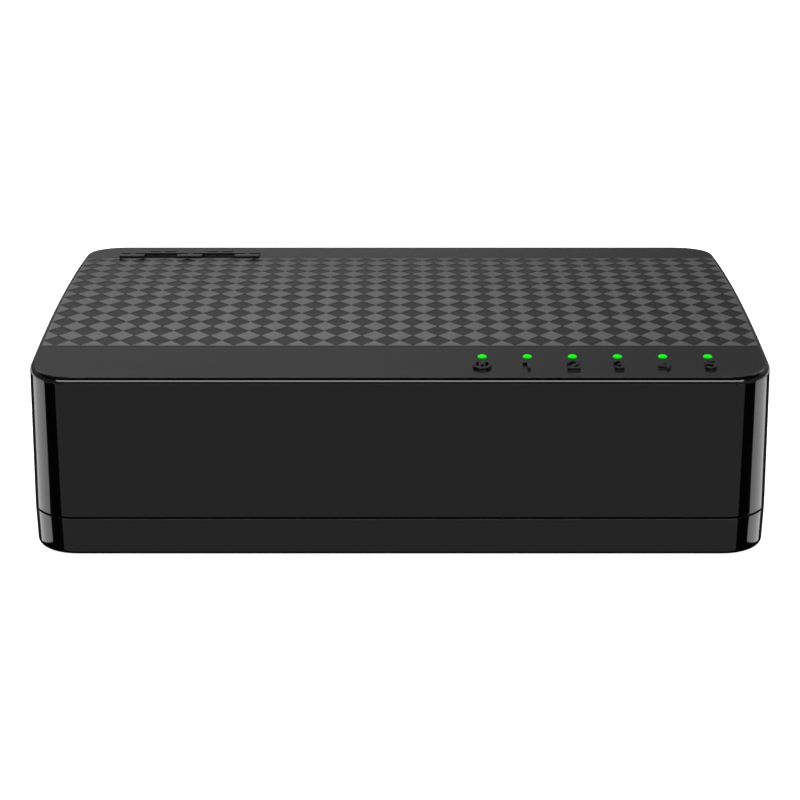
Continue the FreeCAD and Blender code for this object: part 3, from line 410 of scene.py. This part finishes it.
def lens_material():
    """The clear lens of a small light, over its white carrier."""
    g = Graph("led_lens_white")
    fine = g.noise(2000.0)
    g.paint(g.blend(fine, (0.75, 0.75, 0.66), (0.85, 0.85, 0.76)), g.spread(fine, 0.25, 0.4))
    return g.material


# ---- materials on the CAD nodes ------------------------------------------------------------------
def finish_nodes():
    """Gives every CAD node the material of its slot in the record."""
    by_slot = {
        "cover_plastic": cover_material(),
        "base_plastic": base_material(),
        "board_laminate": board_material(),
        "port_plastic": moulded("port_black", (0.016, 0.016, 0.017), 0.34, grain=0.012 * MM),
        "jack_plastic": moulded("jack_black", (0.013, 0.013, 0.014), 0.28, grain=0.010 * MM),
        "tinned_metal": metal("tinned", (0.78, 0.77, 0.74), 0.3),
        "nickel_contact": metal("nickel", (0.72, 0.69, 0.63), 0.2),
        "gold_contact": metal("gold_flash", (0.86, 0.62, 0.24), 0.18, (0.2, 1.0, 1.0)),
        "chip_resin": moulded("chip_resin", (0.018, 0.018, 0.018), 0.55, grain=0.02 * MM),
        "pad_silicone": moulded("pad_silicone", (0.36, 0.40, 0.46), 0.8, grain=0.02 * MM),
        "sink_aluminium": metal("sink_anodised", (0.06, 0.06, 0.065), 0.45),
        "can_steel": metal("can_steel", (0.72, 0.72, 0.72), 0.25),
        "ferrite": moulded("ferrite", (0.045, 0.045, 0.048), 0.6, grain=0.03 * MM),
        "can_aluminium": metal("can_aluminium", (0.80, 0.80, 0.81), 0.22),
        "ceramic": moulded("ceramic", (0.40, 0.31, 0.22), 0.45),
        "light_guide": light_material(),
        "led_lens": lens_material(),
        "screw_steel": metal("screw_black_zinc", (0.20, 0.20, 0.21), 0.32),
        "label_film": label_material(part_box("underside_label")),
        "foot_rubber": rubber_material(),
    }
    for part in frame["record"]["subparts"]:
        mesh = nodes[part["node"]].data
        mesh.materials.clear()
        mesh.materials.append(by_slot[part["material_slot"]])


# ---- the diamond pattern of the top --------------------------------------------------------------
def pad_outline(column, row):
    """Corners of one diamond in pitches, halved where it meets the edge of the pattern."""
    corners = [(0.0, -0.5), (0.5, 0.0), (0.0, 0.5), (-0.5, 0.0)]
    outside = []
    if abs(column) == PATTERN_COLUMNS:
        outside.append((math.copysign(0.5, column), 0.0))
    if row in (0, PATTERN_ROWS):
        outside.append((0.0, 0.5 if row else -0.5))
    if len(outside) < 2:
        return [c for c in corners if c not in outside]
    return order_left([(0.0, 0.0)] + [c for c in corners if c not in outside])


def order_left(corners):
    """The same three corners, so that their outline turns left."""
    a, b, c = corners
    turn = (b[0] - a[0]) * (c[1] - a[1]) - (b[1] - a[1]) * (c[0] - a[0])
    return [a, b, c] if turn > 0 else [a, c, b]


def inset(corners, distance):
    """The outline moved inwards by a distance, for a convex outline that turns left."""
    moved = []
    count = len(corners)
    for index, corner in enumerate(corners):
        before = (corner - corners[index - 1]).normalized()
        after = (corners[(index + 1) % count] - corner).normalized()
        inward = Vector((-before.y, before.x)) + Vector((-after.y, after.x))
        inward.normalize()
        cosine = inward.dot(Vector((-before.y, before.x)))
        moved.append(corner + inward * (distance / cosine))
    return moved


def diamond_field(material):
    """Every light diamond as a low pad with sloping sides, standing on the arched top."""
    mesh = bmesh.new()
    for column in range(-PATTERN_COLUMNS, PATTERN_COLUMNS + 1):
        for row in range(PATTERN_ROWS + 1):
            flat = []
            for right, along in pad_outline(column, row):
                x = (column + right) * PITCH
                arc = PATTERN_FRONT + (row + along) * PITCH
                flat.append(Vector((x, CROWN_R * math.sin(arc / CROWN_R))))
            rings = []
            for step, height in ((PAD_GAP, -PAD_SINK), (PAD_GAP + PAD_SLOPE, PAD_RISE)):
                ring = [mesh.verts.new((p.x, p.y, crown_z(p.y) + height)) for p in inset(flat, step)]
                rings.append(ring)
            bottom, top = rings
            mesh.faces.new(top)
            mesh.faces.new(list(reversed(bottom)))
            for index in range(len(flat)):
                after = (index + 1) % len(flat)
                mesh.faces.new((bottom[index], bottom[after], top[after], top[index]))
    data = bpy.data.meshes.new("top_diamonds")
    mesh.normal_update()
    mesh.to_mesh(data)
    mesh.free()
    data.materials.append(material)
    pads = bpy.data.objects.new("top_diamonds", data)
    bpy.context.scene.collection.objects.link(pads)
    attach(pads, "case")


# ---- studio --------------------------------------------------------------------------------------
def floor_material():
    """White paper that glows a little, like a sweep lit from below."""
    material = bpy.data.materials.new("floor_white")
    material.use_nodes = True
    shader = material.node_tree.nodes["Principled BSDF"]
    shader.inputs["Base Color"].default_value = (0.6, 0.6, 0.6, 1.0)
    shader.inputs["Roughness"].default_value = 0.9
    shader.inputs["Emission Color"].default_value = (1.0, 1.0, 1.0, 1.0)
    shader.inputs["Emission Strength"].default_value = 1.0
    return material


def staged(name, corners, height, material):
    """A flat piece of the studio with corners given as (x, y)."""
    data = bpy.data.meshes.new(name)
    data.from_pydata([(x, y, height) for x, y in corners], [], [tuple(range(len(corners)))])
    data.materials.append(material)
    plane = bpy.data.objects.new(name, data)
    bpy.context.scene.collection.objects.link(plane)
    return plane


def floor():
    """A white floor that the case stands on."""
    half = FLOOR_HALF
    staged("floor", [(-half, -half), (half, -half), (half, half), (-half, half)], 0, floor_material())


def reflector(name, corners, strength, height=CARD_Z):
    """A studio card over the floor that only shows as a reflection."""
    material = bpy.data.materials.new(name)
    material.use_nodes = True
    tree = material.node_tree
    tree.nodes.clear()
    glow = tree.nodes.new("ShaderNodeEmission")
    glow.inputs["Strength"].default_value = strength
    out = tree.nodes.new("ShaderNodeOutputMaterial")
    tree.links.new(glow.outputs[0], out.inputs["Surface"])
    card = staged(name, corners, height, material)
    card.visible_camera = False
    card.visible_diffuse = False
    card.visible_transmission = False
    card.visible_shadow = False


def aim(side_x, side_y, degrees, reach=0.0):
    """A point at some reach from where a corner of the case mirrors the camera's rays that way."""
    normal = math.radians((degrees - VIEW_TURN) / 2)
    turn = math.radians(degrees)
    x = side_x * (CORNER_AXIS[0] + CORNER_R * math.sin(normal) + reach * math.sin(turn))
    y = side_y * (CORNER_AXIS[1] + CORNER_R * math.cos(normal) + reach * math.cos(turn))
    return (x, y)


def fan(side_x, side_y, first, last, reach, last_reach):
    """A card that fans out from a corner, between two directions given in degrees."""
    return [aim(side_x, side_y, first), aim(side_x, side_y, first, reach),
            aim(side_x, side_y, last, last_reach), aim(side_x, side_y, last)]


def cards():
    """Grey cards before and behind the case, bright ones at its sides, black ones between and below."""
    low, high = cad_box
    left, right = low.x - BELOW_EDGE, high.x + BELOW_EDGE
    front, back = low.y - BELOW_EDGE, high.y + BELOW_EDGE
    under = [(left, front), (right, front), (right, back), (left, back)]
    reflector("flag_below", under, BLACK_CARD, TOP_CARD_Z)
    for side_y, end, reach in ((-1, "front", CARD_REACH), (1, "rear", REAR_REACH)):
        outline = [aim(-1, side_y, DARK_FROM), aim(1, side_y, DARK_FROM)]
        outline += [aim(1, side_y, DARK_FROM, reach), aim(-1, side_y, DARK_FROM, reach)]
        reflector(f"card_{end}", outline, FRONT_CARD)
    rear_edge = aim(1, 1, DARK_FROM, REAR_REACH)[1]
    inner, inner_y = CORNER_AXIS
    far = [(-inner, rear_edge), (inner, rear_edge), (inner, FLOOR_REACH), (-inner, FLOOR_REACH)]
    reflector("flag_rear", far, DARK_CARD)
    for side, way in ((-1, "left"), (1, "right")):
        gap = fan(side, -1, DARK_FROM, DARK_TO, CARD_REACH, CARD_REACH)
        reflector(f"flag_front_{way}", gap, BLACK_CARD)
        reflector(f"side_{way}", fan(side, -1, DARK_TO, BRIGHT_TO, *WEDGE_REACH), SIDE_CARD)
        beside = [aim(side, -1, BRIGHT_TO), aim(side, -1, BRIGHT_TO, FLAG_REACH)]
        beside += [(side * 0.5 * FLOOR_REACH, FLOOR_REACH), (side * inner, FLOOR_REACH)]
        beside.append((side * inner, inner_y))
        reflector(f"flag_{way}", beside, DARK_CARD, LOW_CARD_Z)


def soft_light(name, at, target, size, radiance, glossy=True, diffuse=True):
    """A rectangular softbox of a given radiance that faces a point."""
    light = bpy.data.lights.new(name, "AREA")
    light.shape = "RECTANGLE"
    light.size, light.size_y = size
    light.energy = radiance * math.pi * size[0] * size[1]
    lamp = bpy.data.objects.new(name, light)
    lamp.location = at
    away = Vector(at) - Vector(target)
    lamp.rotation_euler = away.to_track_quat("Z", "Y").to_euler()
    lamp.visible_camera = False
    lamp.visible_glossy = glossy
    lamp.visible_diffuse = diffuse
    bpy.context.scene.collection.objects.link(lamp)


def world():
    """A dim room: brighter towards the left and half way up behind the case, dark overhead."""
    sky = bpy.data.worlds.new("studio")
    bpy.context.scene.world = sky
    sky.use_nodes = True
    g = Nodes(sky.node_tree)
    direction = g.split(g.add("ShaderNodeTexCoord").outputs["Generated"])
    behind = g.ramp(g.math("ADD", direction["Y"], HALF), ROOM_BEHIND)
    lean = g.ramp(g.math("ADD", direction["X"], HALF), ROOM_LEAN)
    level = g.mix(behind, g.ramp(direction["Z"], ROOM_ROUND), g.ramp(direction["Z"], ROOM))
    background = sky.node_tree.nodes["Background"]
    background.inputs["Color"].default_value = (1.0, 1.0, 1.0, 1.0)
    g.join(g.math("MULTIPLY", level, lean), background.inputs["Strength"])


def studio():
    """Floor, cards, room and four softboxes: two that light the top, and two that only mirror in it."""
    floor()
    cards()
    world()
    soft_light("overhead", at=(0, 0, 1.3), target=(0, 0, 0), size=(2.4, 2.4),
               radiance=1.8, glossy=False)
    soft_light("near_left", at=(-0.02, -0.025, 0.082), target=(-0.02, -0.025, 0), size=(0.03, 0.03),
               radiance=21.5, glossy=False)
    soft_light("front_bank", at=(0, -0.70, 0.84), target=(0, 0, 0.02), size=(1.5, 0.44),
               radiance=7.4, diffuse=False)
    soft_light("rear_bank", at=(0, 0.75, 0.80), target=(0, 0, 0.02), size=(1.5, 0.05),
               radiance=5.0, diffuse=False)
    bpy.context.scene.view_settings.view_transform = "Standard"


def camera():
    """The camera of the main view, in front of the case and above it."""
    data = bpy.data.cameras.new("camera")
    data.lens = CAMERA_LENS
    data.sensor_width = SENSOR_WIDTH
    data.clip_start = CLIP_START
    eye = bpy.data.objects.new("camera", data)
    eye.location = CAMERA_AT
    eye.rotation_euler = (math.radians(90 - CAMERA_DOWN), 0, 0)
    bpy.context.scene.collection.objects.link(eye)
    bpy.context.scene.camera = eye


camera()
studio()
finish_nodes()
diamond_field(diamond_material())
